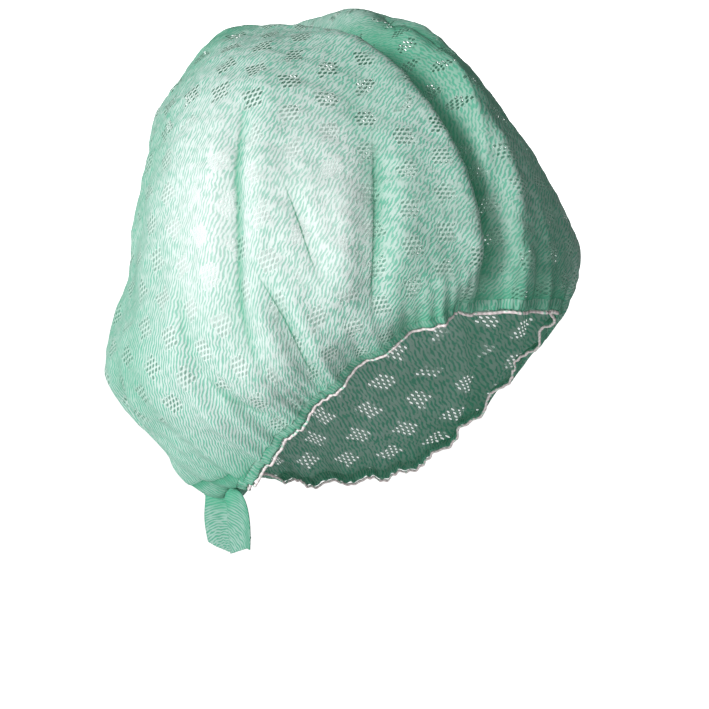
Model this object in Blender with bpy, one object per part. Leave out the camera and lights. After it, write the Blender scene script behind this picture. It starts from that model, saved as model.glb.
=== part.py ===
"""A disposable scrub cap: a full cloth crown in two lobes, its hem, its elastic and its nape tail.

Metres, +Z up. The wearer faces -Y, so their right side is at -X.
The origin is the middle of the head opening, halfway between forehead and nape.
"""

import math

import bmesh
import bpy
import numpy as np
from mathutils import Vector

# Head opening, measured at the lower edge of the crown
OPENING_HALF_WIDTH = 0.073
OPENING_FRONT = 0.087
OPENING_BACK = 0.077
RIM_DROP = 0.100
RIM_TILT = 0.004

# Crown
CROWN_HEIGHT = 0.132
CROWN_FRONT = 0.094
CROWN_SIDE = 0.108
CROWN_BACK = 0.122
CROWN_LEAN = 0.048
CROWN_TILT = 0.009
NAPE_SAG = 0.015
NAPE_SAG_SPREAD = 0.0277
NAPE_SAG_PLACE = 0.0079
NAPE_TURN = 0.42
CLOTH = 0.0012

# Valley between the two lobes, and the crests beside it
VALLEY_DEPTH = 0.018
VALLEY_NEAR_WIDTH = 0.013
VALLEY_FAR_WIDTH = 0.017
VALLEY_SQUARENESS = 1.7
CREST_RISE = 0.003
NEAR_CREST_PLACE = 1.7
FAR_CREST_PLACE = 1.5

# Folds and gathers
FOLD_DEPTH = 0.0045
FOLD_WIDTH = 0.0075
FOLD_TAPER = 0.6
FOLD_LIP = 0.35
FOLD_LIP_PLACE = 1.7
GATHERS = 23
GATHER_DEPTH = 0.0016
GATHER_REACH = 0.0133
GATHER_DRIFT = 1.3
GATHER_DRIFTS = 3

# Hem and elastic
HEM_HEIGHT = 0.0050
HEM_THICKNESS = 0.0022
HEM_RUFFLE = 0.0005
ELASTIC_THICKNESS = 0.0014
GAP = 0.0003

# Nape tail, the bunched end of the sheet
TAIL_TOP_WIDTH = 0.030
TAIL_FOOT_WIDTH = 0.042
TAIL_LENGTH = 0.027
TAIL_PLEATS = 3.5
TAIL_PLEAT_DEPTH = 0.0060
TAIL_FOOT_PLEATS = 0.6
TAIL_PLACE = 0.0059
TAIL_CURL = 0.0132
TAIL_CORNER_RISE = 0.125
TAIL_FREEDOM = 1.5
TAIL_GAP = 0.0011

# Mesh density
AROUND = 92
UP = 23
ELASTIC_AROUND = 60
TAIL_ACROSS = 28
TAIL_DOWN = 7

# Height of the lower edge over the nape, as a share of RIM_DROP
RIM = [
    # azimuth, height
    (0, 1.00),
    (30, 0.96),
    (60, 0.72),
    (90, 0.39),
    (120, 0.09),
    (150, 0.01),
    (180, 0.00),
]

# One row for each ring of the crown above its lower edge. rise is the share of the way up.
# lean, front, side and back are shares of the CROWN sizes. The corners are shares of an oval.
RINGS = [
    # rise, lean, front, side, back, front_corner, back_corner
    (0.100, 0.06, 0.98, 0.89, 0.86, 0.97, 1.04),
    (0.250, 0.17, 1.00, 1.00, 1.00, 0.97, 1.12),
    (0.450, 0.33, 0.97, 0.98, 0.92, 0.92, 1.06),
    (0.650, 0.54, 0.88, 0.90, 0.80, 0.89, 1.02),
    (0.820, 0.75, 0.71, 0.75, 0.65, 0.90, 0.99),
    (0.940, 0.92, 0.50, 0.54, 0.45, 0.95, 0.98),
    (0.985, 0.98, 0.29, 0.32, 0.27, 1.00, 1.00),
    (1.000, 1.00, 0.00, 0.00, 0.00, 1.00, 1.00),
]

# The valley's course. turn is the angle from the forehead over the top to the nape.
# side is a share of CROWN_SIDE, depth of VALLEY_DEPTH, near and far of the VALLEY widths.
VALLEY = [
    # turn, side, depth, near, far
    (-10, -0.29, 0.20, 0.60, 0.60),
    (15, -0.22, 0.90, 0.55, 0.60),
    (50, -0.14, 1.00, 0.65, 0.75),
    (90, -0.07, 1.00, 0.90, 1.10),
    (130, -0.02, 0.95, 1.00, 1.20),
    (175, 0.02, 0.80, 1.00, 1.20),
    (210, 0.00, 0.45, 1.00, 1.00),
    (240, 0.00, 0.10, 1.00, 1.00),
]

# Folds of the cloth. Each starts at one place and ends at another, drawn aside by the middle one.
# Places are azimuth and share of the way from hem to top. width is a share of FOLD_WIDTH, depth
# of FOLD_DEPTH.
FOLDS = [
    # from_az, from_up, mid_az, mid_up, to_az, to_up, width, depth
    (-77, 0.58, -84, 0.40, -83, 0.16, 1.0, 1.0),
    (-67, 0.42, -63, 0.33, -61, 0.24, 0.6, 0.6),
    (-44, 0.44, -51, 0.30, -54, 0.14, 1.0, 0.9),
    (-78, 0.29, -72, 0.20, -75, 0.00, 0.7, 0.8),
    (-102, 0.23, -100, 0.11, -93, 0.04, 1.0, 0.8),
    (-101, 0.34, -101, 0.27, -99, 0.20, 0.7, 0.4),
    (55, 0.86, 28, 0.84, 6, 0.76, 0.9, 0.7),
    (30, 0.78, 16, 0.74, 9, 0.64, 0.7, 0.6),
    (-5, 0.26, -8, 0.18, -11, 0.05, 0.6, 0.5),
    (-3, 0.25, -2, 0.15, 2, 0.04, 0.6, 0.5),
    (44, 0.46, 50, 0.30, 48, 0.06, 0.9, 0.8),
    (76, 0.60, 83, 0.42, 80, 0.15, 1.0, 1.0),
    (104, 0.30, 100, 0.18, 96, 0.02, 0.9, 0.8),
    (128, 0.62, 136, 0.42, 150, 0.16, 1.0, 0.9),
    (158, 0.34, 164, 0.20, 186, 0.06, 0.9, 0.9),
    (-132, 0.58, -142, 0.36, -150, 0.14, 1.0, 0.9),
    (-128, 0.26, -140, 0.16, -152, 0.05, 0.9, 0.9),
    (-170, 0.30, -165, 0.18, -160, 0.07, 0.8, 0.8),
]


def cubic(before, start, end, after, t):
    """Catmull-Rom blend of four neighbours."""
    return 0.5 * (
        2.0 * start
        + (end - before) * t
        + (2.0 * before - 5.0 * start + 4.0 * end - after) * t**2
        + (3.0 * start - before - 3.0 * end + after) * t**3
    )


def along(rows, share):
    """Smooth values at a share 0 to 1 of the way through rows that carry one extra row at each end."""
    spans = len(rows) - 3
    place = np.clip(share, 0.0, 1.0) * spans
    index = np.minimum(place.astype(int), spans - 1)
    t = (place - index)[..., None]
    return cubic(rows[index], rows[index + 1], rows[index + 2], rows[index + 3], t)


def rim_height(azimuth):
    """Height of the crown's lower edge at an azimuth in radians, 0 at the forehead."""
    folded = np.abs((azimuth + math.pi) % (2.0 * math.pi) - math.pi)
    shares = np.array([row[1] for row in RIM])
    mirrored = np.concatenate((shares[1:2], shares, shares[-2:-1]))[:, None]
    share = along(mirrored, folded / math.pi)[..., 0]
    return RIM_DROP * (share - 0.5) - RIM_TILT * np.sin(azimuth)


def ring_rows():
    """Rise, lean, front, side, back and the two corners, in metres, from the lower edge to the top."""
    rows = [(0.0, 0.0, OPENING_FRONT, OPENING_HALF_WIDTH, OPENING_BACK, 1.0, 1.0)]
    for rise, lean, front, side, back, front_corner, back_corner in RINGS:
        sizes = (CROWN_LEAN * lean, CROWN_FRONT * front, CROWN_SIDE * side, CROWN_BACK * back)
        rows.append((rise, *sizes, front_corner, back_corner))
    table = np.array(rows)
    below = 2.0 * table[0] - table[1]
    beyond = table[-2] * np.array([1.0, 1.0, -1.0, -1.0, -1.0, 1.0, 1.0])
    return np.vstack((below, table, beyond))


def smooth_crown(azimuth, up):
    """Points of the crown before its valley and folds. up is 0 at the hem and 1 at the top."""
    rise, lean, front, side, back, front_corner, back_corner = np.moveaxis(along(ring_rows(), up), -1, 0)
    ahead = np.cos(azimuth) > 0.0
    depth = np.where(ahead, front, back)
    corner = np.where(ahead, front_corner, back_corner)
    oval = np.hypot(np.sin(azimuth) * depth, np.cos(azimuth) * side)
    reach = depth * side / np.maximum(oval, 1e-9)
    reach = reach * (1.0 + (corner - 1.0) * np.sin(2.0 * azimuth) ** 2)
    top = RIM_DROP / 2.0 + CROWN_HEIGHT
    low = rim_height(azimuth)
    x = reach * np.sin(azimuth)
    y = lean - reach * np.cos(azimuth)
    z = low + (top - low) * rise + CROWN_TILT * rise**2 * x / CROWN_SIDE
    return np.stack((x, y, z - nape_sag(azimuth, up)), axis=-1)


def nape_sag(azimuth, up):
    """How far the cloth hangs below its rings where it is drawn into the tail."""
    off_nape = OPENING_BACK * (azimuth % (2.0 * math.pi) - math.pi - NAPE_TURN) / NAPE_SAG_SPREAD
    place = up * CROWN_HEIGHT / NAPE_SAG_PLACE
    return NAPE_SAG * place * np.exp(1.0 - place) * np.exp(-(off_nape**2))


def add_valley(points):
    """Sinks the valley towards the head and lifts the crests on both sides of it."""
    heart_y = CROWN_LEAN / 4.0
    heart_z = RIM_DROP / 2.0
    ahead = heart_y - points[..., 1]
    above = points[..., 2] - heart_z
    turn = np.degrees(np.arctan2(above, ahead))
    turn = np.where(turn < -60.0, turn + 360.0, turn)
    turns, sides, depths, nears, fars = np.array(VALLEY).T
    offset = points[..., 0] - CROWN_SIDE * np.interp(turn, turns, sides)
    depth = VALLEY_DEPTH * np.interp(turn, turns, depths)
    near_width = VALLEY_NEAR_WIDTH * np.interp(turn, turns, nears)
    far_width = VALLEY_FAR_WIDTH * np.interp(turn, turns, fars)
    width = np.where(offset < 0.0, near_width, far_width)
    sink = depth * np.exp(-((np.abs(offset) / width) ** VALLEY_SQUARENESS))
    share = depth / VALLEY_DEPTH
    near_crest = offset / near_width + NEAR_CREST_PLACE
    far_crest = offset / far_width - FAR_CREST_PLACE
    lift = CREST_RISE * share * (np.exp(-(near_crest**2)) + np.exp(-(far_crest**2)))
    reach = np.hypot(ahead, above)
    inward = (sink - lift) / np.maximum(reach, 1e-6)
    moved = points.copy()
    moved[..., 1] += ahead * inward
    moved[..., 2] -= above * inward
    return moved


def folded_crown(azimuth, up):
    """The crown with its valley, before folds and gathers."""
    return add_valley(smooth_crown(azimuth, up))


def outward(azimuth, up):
    """Unit normals of the crown, pointing out."""
    step = 1e-4
    aside = folded_crown(azimuth + step, up) - folded_crown(azimuth - step, up)
    rise = folded_crown(azimuth, up + step) - folded_crown(azimuth, up - step)
    normal = np.cross(aside, rise)
    return normal / np.maximum(np.linalg.norm(normal, axis=-1, keepdims=True), 1e-12)


def fold_course(row):
    """Points along one fold."""
    from_az, from_up, mid_az, mid_up, to_az, to_up = row[:6]
    t = np.linspace(0.0, 1.0, 25)
    weights = ((1.0 - t) ** 2, 2.0 * t * (1.0 - t), t**2)
    azimuth = weights[0] * from_az + weights[1] * mid_az + weights[2] * to_az
    up = weights[0] * from_up + weights[1] * mid_up + weights[2] * to_up
    return folded_crown(np.radians(azimuth), up)


def fold_depths(points):
    """How far each point is pressed in by the folds."""
    press = np.zeros(points.shape[:-1])
    for row in FOLDS:
        course = fold_course(row)
        width = FOLD_WIDTH * row[6]
        gaps = np.linalg.norm(points[..., None, :] - course, axis=-1)
        nearest = np.argmin(gaps, axis=-1)
        taper = np.sin(math.pi * (nearest + 1.0) / (len(course) + 1.0)) ** FOLD_TAPER
        gap = np.min(gaps, axis=-1) / width
        groove = np.exp(-(gap**2)) - FOLD_LIP * np.exp(-((gap - FOLD_LIP_PLACE) ** 2))
        press += FOLD_DEPTH * row[7] * taper * groove
    return press


def gather_depths(azimuth, up):
    """Ripples that the drawn elastic makes in the cloth above the hem."""
    ripple = np.cos(GATHERS * azimuth + GATHER_DRIFT * np.sin(GATHER_DRIFTS * azimuth))
    return GATHER_DEPTH * ripple * np.exp(-up * CROWN_HEIGHT / GATHER_REACH)


def crown_points():
    """The crown's outer face as rows going up, each with AROUND points. The top is its own point."""
    azimuth = np.arange(AROUND) * 2.0 * math.pi / AROUND
    azimuths, ups = np.meshgrid(azimuth, np.arange(UP) / UP)
    points = folded_crown(azimuths, ups)
    press = fold_depths(points) + gather_depths(azimuths, ups)
    return points - outward(azimuths, ups) * press[..., None]


def crown_top():
    """The crown's point between the lobes, where its rows meet."""
    return folded_crown(np.zeros(1), np.ones(1))[0]


def rim_frame(points):
    """At each azimuth: a point of the crown's lower edge, the way down off it and the way out."""
    edge = points[0]
    down = edge - points[1]
    down /= np.linalg.norm(down, axis=-1, keepdims=True)
    forward = np.roll(edge, -1, axis=0) - np.roll(edge, 1, axis=0)
    out = np.cross(down, forward)
    out /= np.linalg.norm(out, axis=-1, keepdims=True)
    return edge, down, out


def on_crown(points, azimuth, up):
    """Points on the flat facets of the crown's outer face."""
    column = np.mod(azimuth, 2.0 * math.pi) * AROUND / (2.0 * math.pi)
    row = up * UP
    i = column.astype(int)
    j = row.astype(int)
    aside = (column - i)[:, None]
    above = (row - j)[:, None]
    i_next = (i + 1) % AROUND
    low = points[j, i] * (1.0 - aside) + points[j, i_next] * aside
    high = points[j + 1, i] * (1.0 - aside) + points[j + 1, i_next] * aside
    return low * (1.0 - above) + high * above


def material(name, colour, roughness):
    """A plain surface for one piece."""
    made = bpy.data.materials.new(name)
    made.use_nodes = True
    shader = made.node_tree.nodes["Principled BSDF"]
    shader.inputs["Base Color"].default_value = (*colour, 1.0)
    shader.inputs["Roughness"].default_value = roughness
    shader.inputs["Metallic"].default_value = 0.0
    return made


def mint_cloth(name):
    return material(name, (0.50, 0.80, 0.69), 0.85)


def white_elastic():
    return material("white_elastic", (0.93, 0.90, 0.90), 0.6)


def add_object(name, mesh, finish):
    """Puts a mesh in the scene with its material and smooth shading."""
    thing = bpy.data.objects.new(name, mesh)
    bpy.context.scene.collection.objects.link(thing)
    mesh.materials.append(finish)
    mesh.shade_smooth()
    mesh.set_sharp_from_angle(angle=math.radians(60.0))
    return thing


def grid_mesh(name, rows, closed_round, top=None):
    """A sheet through rows of points. A top point closes the last row into a fan."""
    made = bmesh.new()
    verts = [[made.verts.new(Vector(point)) for point in row] for row in rows]
    count = len(verts[0])
    spans = count if closed_round else count - 1
    for lower, upper in zip(verts, verts[1:]):
        for i in range(spans):
            j = (i + 1) % count
            made.faces.new((lower[i], lower[j], upper[j], upper[i]))
    if top is not None:
        peak = made.verts.new(Vector(top))
        last = verts[-1]
        for i in range(spans):
            made.faces.new((last[i], last[(i + 1) % count], peak))
    bmesh.ops.triangulate(made, faces=made.faces[:])
    mesh = bpy.data.meshes.new(name)
    made.to_mesh(mesh)
    made.free()
    return mesh


def thicken(thing, thickness, offset):
    """Gives a sheet its wall. An offset of -1 keeps the sheet as the outer face."""
    wall = thing.modifiers.new("wall", "SOLIDIFY")
    wall.thickness = thickness
    wall.offset = offset
    wall.use_even_offset = False


def ring_mesh(name, sections):
    """A closed band through sections of points that go round and meet again."""
    made = bmesh.new()
    verts = [[made.verts.new(Vector(point)) for point in section] for section in sections]
    count = len(verts[0])
    for i, section in enumerate(verts):
        after = verts[(i + 1) % len(verts)]
        for j in range(count):
            k = (j + 1) % count
            made.faces.new((section[j], section[k], after[k], after[j]))
    bmesh.ops.triangulate(made, faces=made.faces[:])
    bmesh.ops.recalc_face_normals(made, faces=made.faces[:])
    mesh = bpy.data.meshes.new(name)
    made.to_mesh(mesh)
    made.free()
    return mesh


def oval_section(centre, down, out, half_height, half_thickness, sides):
    """Points round a flat oval that stands across the way round the rim."""
    turns = np.arange(sides) * 2.0 * math.pi / sides
    tall = np.cos(turns)[:, None] * half_height * down
    wide = np.sin(turns)[:, None] * half_thickness * out
    return centre + tall + wide


def build_crown(points):
    mesh = grid_mesh("crown", points, True, crown_top())
    thing = add_object("crown", mesh, mint_cloth("crown_cloth"))
    thicken(thing, CLOTH, -1.0)


def build_hem(points):
    """The narrow doubled edge under the crown, with a small ruffle."""
    edge, down, out = rim_frame(points)
    azimuth = np.arange(AROUND) * 2.0 * math.pi / AROUND
    ruffle = HEM_RUFFLE * np.sin(2.0 * GATHERS * azimuth)
    middle = GAP + HEM_HEIGHT / 2.0
    sections = []
    for i in range(AROUND):
        centre = edge[i] + down[i] * middle + out[i] * (ruffle[i] - CLOTH / 2.0)
        sections.append(oval_section(centre, down[i], out[i], HEM_HEIGHT / 2.0, HEM_THICKNESS / 2.0, 6))
    add_object("hem", ring_mesh("hem", sections), mint_cloth("hem_cloth"))


def build_elastic(points):
    """The white elastic that draws the hem in, just under it."""
    edge, down, out = rim_frame(points)
    picks = np.arange(ELASTIC_AROUND) * AROUND / ELASTIC_AROUND
    middle = GAP + HEM_HEIGHT + GAP + ELASTIC_THICKNESS / 2.0
    radius = ELASTIC_THICKNESS / 2.0
    sections = []
    for pick in picks:
        low = int(pick)
        high = (low + 1) % AROUND
        share = pick - low
        base = edge[low] * (1.0 - share) + edge[high] * share
        drop = down[low] * (1.0 - share) + down[high] * share
        side = out[low] * (1.0 - share) + out[high] * share
        centre = base + drop * middle - side * CLOTH / 2.0
        sections.append(oval_section(centre, drop, side, radius, radius, 5))
    add_object("elastic", ring_mesh("elastic", sections), white_elastic())


def tail_rows(points):
    """The pleated sheet of the tail, rows going up from its foot to its seat under the crown."""
    azimuth = math.pi + NAPE_TURN
    out = np.array([math.sin(azimuth), -math.cos(azimuth), 0.0])
    side = np.array([math.cos(azimuth), math.sin(azimuth), 0.0])
    across = np.linspace(-0.5, 0.5, TAIL_ACROSS)
    turn = across * TAIL_TOP_WIDTH / OPENING_BACK
    pleat = np.sin(2.0 * math.pi * TAIL_PLEATS * across)
    place = (TAIL_PLACE + TAIL_PLEAT_DEPTH * pleat / 2.0) / CROWN_HEIGHT
    seat = on_crown(points, azimuth + turn, place)
    face = outward(azimuth + turn, place)
    seat = seat + face * (TAIL_GAP + CLOTH / 2.0)
    rows = []
    for share in np.linspace(1.0, 0.0, TAIL_DOWN):
        loose = share**TAIL_FREEDOM
        spread = (TAIL_FOOT_WIDTH - TAIL_TOP_WIDTH) * loose * across
        deeper = TAIL_FOOT_PLEATS * TAIL_PLEAT_DEPTH * loose * pleat
        curl = TAIL_CURL * loose * (2.0 * across) ** 2
        row = seat + np.outer(spread, side) + np.outer(deeper - curl, out)
        foot = seat[:, 2].mean() - TAIL_LENGTH * (1.0 - TAIL_CORNER_RISE * np.abs(2.0 * across))
        row[:, 2] = seat[:, 2] * (1.0 - share) + foot * share
        rows.append(row)
    return rows


def build_nape_tail(points):
    mesh = grid_mesh("nape_tail", tail_rows(points), False)
    thing = add_object("nape_tail", mesh, mint_cloth("tail_cloth"))
    thicken(thing, CLOTH, 0.0)


def clear_scene():
    for thing in list(bpy.data.objects):
        bpy.data.objects.remove(thing, do_unlink=True)


def main():
    clear_scene()
    points = crown_points()
    build_crown(points)
    build_hem(points)
    build_elastic(points)
    build_nape_tail(points)


main()
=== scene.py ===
"""The looks of the scrub cap: thin striped openwork cloth, gathered edge, elastic and nape tail.

Metres, +Z up, in the frame of the CAD part. The wearer faces -Y.
"""

import math

import bpy
import numpy as np
from mathutils import Matrix, Vector


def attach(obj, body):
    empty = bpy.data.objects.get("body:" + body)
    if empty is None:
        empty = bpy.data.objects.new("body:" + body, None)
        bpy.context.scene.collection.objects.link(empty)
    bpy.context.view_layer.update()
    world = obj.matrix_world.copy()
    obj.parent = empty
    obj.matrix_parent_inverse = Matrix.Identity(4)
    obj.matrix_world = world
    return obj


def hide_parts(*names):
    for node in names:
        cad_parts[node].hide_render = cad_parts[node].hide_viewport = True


TURN = 2.0 * math.pi

# Sizes and tables as in the part. The valley is narrower at the front here, the two long folds by
# the ear are moved a little, and the tail's foot is cut to another outline.
OPENING_HALF_WIDTH = 0.073
OPENING_FRONT = 0.087
OPENING_BACK = 0.077
RIM_DROP = 0.1
RIM_TILT = 0.004
CROWN_HEIGHT = 0.132
CROWN_FRONT = 0.094
CROWN_SIDE = 0.108
CROWN_BACK = 0.122
CROWN_LEAN = 0.048
CROWN_TILT = 0.009
NAPE_SAG = 0.015
NAPE_SAG_SPREAD = 0.0277
NAPE_SAG_PLACE = 0.0079
NAPE_TURN = 0.42
CLOTH = 0.0012
VALLEY_DEPTH = 0.018
VALLEY_NEAR_WIDTH = 0.013
VALLEY_FAR_WIDTH = 0.017
VALLEY_SQUARENESS = 1.7
CREST_RISE = 0.003
NEAR_CREST_PLACE = 1.7
FAR_CREST_PLACE = 1.5
FOLD_DEPTH = 0.0045
FOLD_WIDTH = 0.0075
FOLD_TAPER = 0.6
FOLD_LIP = 0.35
FOLD_LIP_PLACE = 1.7
GATHERS = 23
GATHER_DEPTH = 0.0016
GATHER_REACH = 0.0133
GATHER_DRIFT = 1.3
GATHER_DRIFTS = 3
HEM_HEIGHT = 0.005
HEM_THICKNESS = 0.0014
HEM_TUCK = 0.0006
ELASTIC_THICKNESS = 0.0014
GAP = 0.0003
TAIL_TOP_WIDTH = 0.03
TAIL_FOOT_WIDTH = 0.042
TAIL_PLEATS = 3.5
TAIL_PLEAT_DEPTH = 0.006
TAIL_PLACE = 0.0059
TAIL_FREEDOM = 1.5
TAIL_GAP = 0.0011
# The tail's near half is wider and curls forward
TAIL_NEAR_WIDER = 0.9
TAIL_NEAR_CURL = 0.0074
TAIL_CURL_FREEDOM = 0.4
TAIL_TUCK = 0.0036
TAIL_BELLY = 0.0016
TAIL_RELIEF = 0.0018
# The foot's outline, as places and heights in the view that comes from TAIL_FACES degrees. It
# rises by TAIL_FOOT_SLANT towards that view, up from the place TAIL_FOOT_BACK.
TAIL_FACES = -50.0
TAIL_FOOT = (
    (-0.0922, -0.0905, -0.085, -0.0781, -0.0723, -0.0679),
    (-0.0703, -0.0733, -0.0763, -0.079, -0.0767, -0.0751),
)
TAIL_FOOT_SLANT = 0.105
TAIL_FOOT_BACK = -0.022
# The tail's stripes run in arcs round a place below its foot
TAIL_ARC_PLACE = -0.0781
TAIL_ARC_HEIGHT = -0.0835
TAIL_FINER = 1.15
TAIL_MIDDLE = -0.08

# Density of the drawn cloth. Columns stand closer between CLOSE_FROM and CLOSE_TO, in degrees
COLUMNS = 480
ROWS = 198
COARSE = 4
CLOSER = 1.4
CLOSE_FROM = -125.0
CLOSE_TO = 40.0
RING_COLUMNS = 768
HEM_SIDES = 16
ELASTIC_SIDES = 10
TAIL_COLUMNS = 140
TAIL_ROWS = 60
COURSE_PLACES = 41

# Fine gathers over the elastic
FINE_GATHERS = 96
FINE_GATHER_DEPTH = 0.00035
FINE_GATHER_REACH = 0.011
LONG_GATHERS = 41
LONG_GATHER_DEPTH = 0.0007
LONG_GATHER_REACH = 0.034

# Ripples of the hem and the elastic, as count, drift, seed and height
FINE_RUFFLE = (150, 3.0, 11, 0.00016)
BROAD_RUFFLE = (61, 2.0, 12, 0.00022)
SCALLOP = (118, 3.0, 13, 0.00018)
ELASTIC_RUFFLE = (61, 2.0, 12, 0.00014)
ELASTIC_SWELL = (170, 2.0, 21, 0.1)
RIM_SMOOTHING = 80
RIM_SPAN = 16

# Soft waves of the thin cloth
SOFT_WAVES = [
    # depth, length, seed
    (0.0006, 0.03, 7),
    (0.00025, 0.009, 8),
]
SOFT_WAVE_COUNT = 14

# The most steps that the pattern's coordinates are solved in
PHASE_STEPS = 700

# The cloth's pattern: stripes of small slits, and diamonds of open eyelets
STRIPE = 0.00152
EYELET_ACROSS = 0.0018
EYELET_ALONG = 0.0025
DIAMOND_ACROSS = 0.0182
DIAMOND_ALONG = 0.0148
DIAMOND_HALF_WIDTH = 0.006
DIAMOND_HALF_LENGTH = 0.0062
EYELET_SLANT = -0.3
EYELET_HALF_WIDTH = 0.27
EYELET_HALF_LENGTH = 0.42
# How the strands wander and wave
WANDER = 0.0022
WAVE_LENGTH = 0.0062
WAVE_HEIGHT = 0.00024
# Colours as screen values
DIAMOND_THREAD = (222, 234, 229)
# Painted highlight on the cloth over the side of the head, whitest in its eyelets
STRETCHED_HIGHLIT_CLOTH = (240, 244, 243)
STRETCHED_HIGHLIT_EYELET = (246, 248, 248)
DOUBLED_AND_SHADED_CREASE = (24, 138, 100)
EYELET_SHADE = (34, 120, 92)

# Where the colour is deeper: painted shade on the far lobe, at the front by the valley and round
# the nape, and a row below 0 is a painted lighter patch low at the front. Each row fades between
# the two azimuths of one side, of the other side and between two shares of the way up
DEEPER_AND_SHADED = [
    # amount, side, other side, edge
    (0.35, (-18.0, 4.0), (150.0, 90.0), (1.0, 0.8)),
    (0.3, (-52.0, -46.0), (0.0, -14.0), (0.75, 0.5)),
    (0.6, (-100.0, -124.0), (-176.0, -150.0), None),
    (0.32, (-26.0, -12.0), (34.0, 14.0), None),
    (-0.22, (-46.0, -60.0), None, (0.3, 0.15)),
]
# Where the strands are steady, and where there are no eyelets
STEADY = (1.0, (-70.0, -105.0), None, (0.62, 0.25))
PLAIN = (1.0, (-92.0, -104.0), (-176.0, -164.0), (0.17, 0.12))
# Where the cloth over the side of the head is paler: pulled thin there, and a painted highlight
# where the key light falls on it
STRETCHED_AND_HIGHLIT = [
    # azimuth, up, reach in azimuth, reach upwards, amount
    (-89, 0.42, 20, 0.18, 1.15),
    (-60, 0.38, 26, 0.18, 0.95),
    (-84, 0.2, 24, 0.12, 0.45),
]

# The studio: a floor that rises in a curve all round, a key light and a pale room
FLOOR_LEVEL = -0.34
FLOOR_REACH = 4.2
FLOOR_CURVE = 0.9
WHITE = (1.0, 1.0, 1.0, 1.0)
KEY_WAY = (0.74, -0.68, 0.24)  # towards the camera, to its right and up
LOW_WAY = (0.55, -0.55, -0.9)
KEY_STRENGTH = 2.55
KEY_ANGLE = 20.0
ROOM = 0.07
ROOM_BY_KEY = 0.44
ROOM_BY_LOW = 0.85

# The camera, in degrees and metres. The aim is left of and below a place over the origin
CAMERA_AZIMUTH = -50.0
CAMERA_ELEVATION = 6.0
CAMERA_DISTANCE = 1.1
CAMERA_LENS = 116.4
CAMERA_AIM_HEIGHT = 0.05
CAMERA_AIM_LEFT = 0.01656
CAMERA_AIM_DOWN = 0.03096

# The azimuths in degrees where the drawn cloth of the two lobes meets
FRONT_MEET = -13.0
BACK_MEET = 180.0

RIM = [
    # azimuth, height
    (0, 1.0),
    (30, 0.96),
    (60, 0.72),
    (90, 0.39),
    (120, 0.09),
    (150, 0.01),
    (180, 0.0),
]

RINGS = [
    # rise, lean, front, side, back, front_corner, back_corner
    (0.1, 0.06, 0.98, 0.89, 0.86, 0.97, 1.04),
    (0.25, 0.17, 1.0, 1.0, 1.0, 0.97, 1.12),
    (0.45, 0.33, 0.97, 0.98, 0.92, 0.92, 1.06),
    (0.65, 0.54, 0.88, 0.9, 0.8, 0.89, 1.02),
    (0.82, 0.75, 0.71, 0.75, 0.65, 0.9, 0.99),
    (0.94, 0.92, 0.5, 0.54, 0.45, 0.95, 0.98),
    (0.985, 0.98, 0.29, 0.32, 0.27, 1.0, 1.0),
    (1.0, 1.0, 0.0, 0.0, 0.0, 1.0, 1.0),
]

VALLEY = [
    # turn, side, depth, near, far
    (-10, -0.29, 0.2, 0.6, 0.42),
    (15, -0.22, 0.9, 0.55, 0.4),
    (50, -0.14, 1.0, 0.65, 0.52),
    (90, -0.07, 1.0, 0.9, 0.9),
    (130, -0.02, 0.95, 1.0, 1.2),
    (175, 0.02, 0.8, 1.0, 1.2),
    (210, 0.0, 0.45, 1.0, 1.0),
    (240, 0.0, 0.1, 1.0, 1.0),
]

FOLDS = [
    # from_az, from_up, mid_az, mid_up, to_az, to_up, width, depth
    (-79.5, 0.58, -86.5, 0.4, -85.5, 0.16, 1.0, 1.0),
    (-69, 0.42, -65, 0.33, -63, 0.24, 0.6, 0.25),
    (-44, 0.44, -51, 0.3, -54, 0.14, 1.0, 0.9),
    (-78, 0.29, -72, 0.2, -75, 0.0, 0.7, 0.8),
    (-102, 0.23, -100, 0.11, -93, 0.04, 1.0, 0.8),
    (-101, 0.34, -101, 0.27, -99, 0.2, 0.7, 0.4),
    (55, 0.86, 28, 0.84, 6, 0.76, 0.9, 0.7),
    (30, 0.78, 16, 0.74, 9, 0.64, 0.7, 0.6),
    (-5, 0.26, -8, 0.18, -11, 0.05, 0.6, 0.2),
    (-3, 0.25, -2, 0.15, 2, 0.04, 0.6, 0.2),
    (44, 0.46, 50, 0.3, 48, 0.06, 0.9, 0.8),
    (76, 0.6, 83, 0.42, 80, 0.15, 1.0, 1.0),
    (104, 0.3, 100, 0.18, 96, 0.02, 0.9, 0.8),
    (128, 0.62, 136, 0.42, 150, 0.16, 1.0, 0.9),
    (158, 0.34, 164, 0.2, 186, 0.06, 0.9, 0.9),
    (-132, 0.58, -142, 0.36, -150, 0.14, 1.0, 0.9),
    (-128, 0.26, -140, 0.16, -152, 0.05, 0.9, 0.9),
    (-170, 0.3, -165, 0.18, -160, 0.07, 0.8, 0.8),
]
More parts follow.
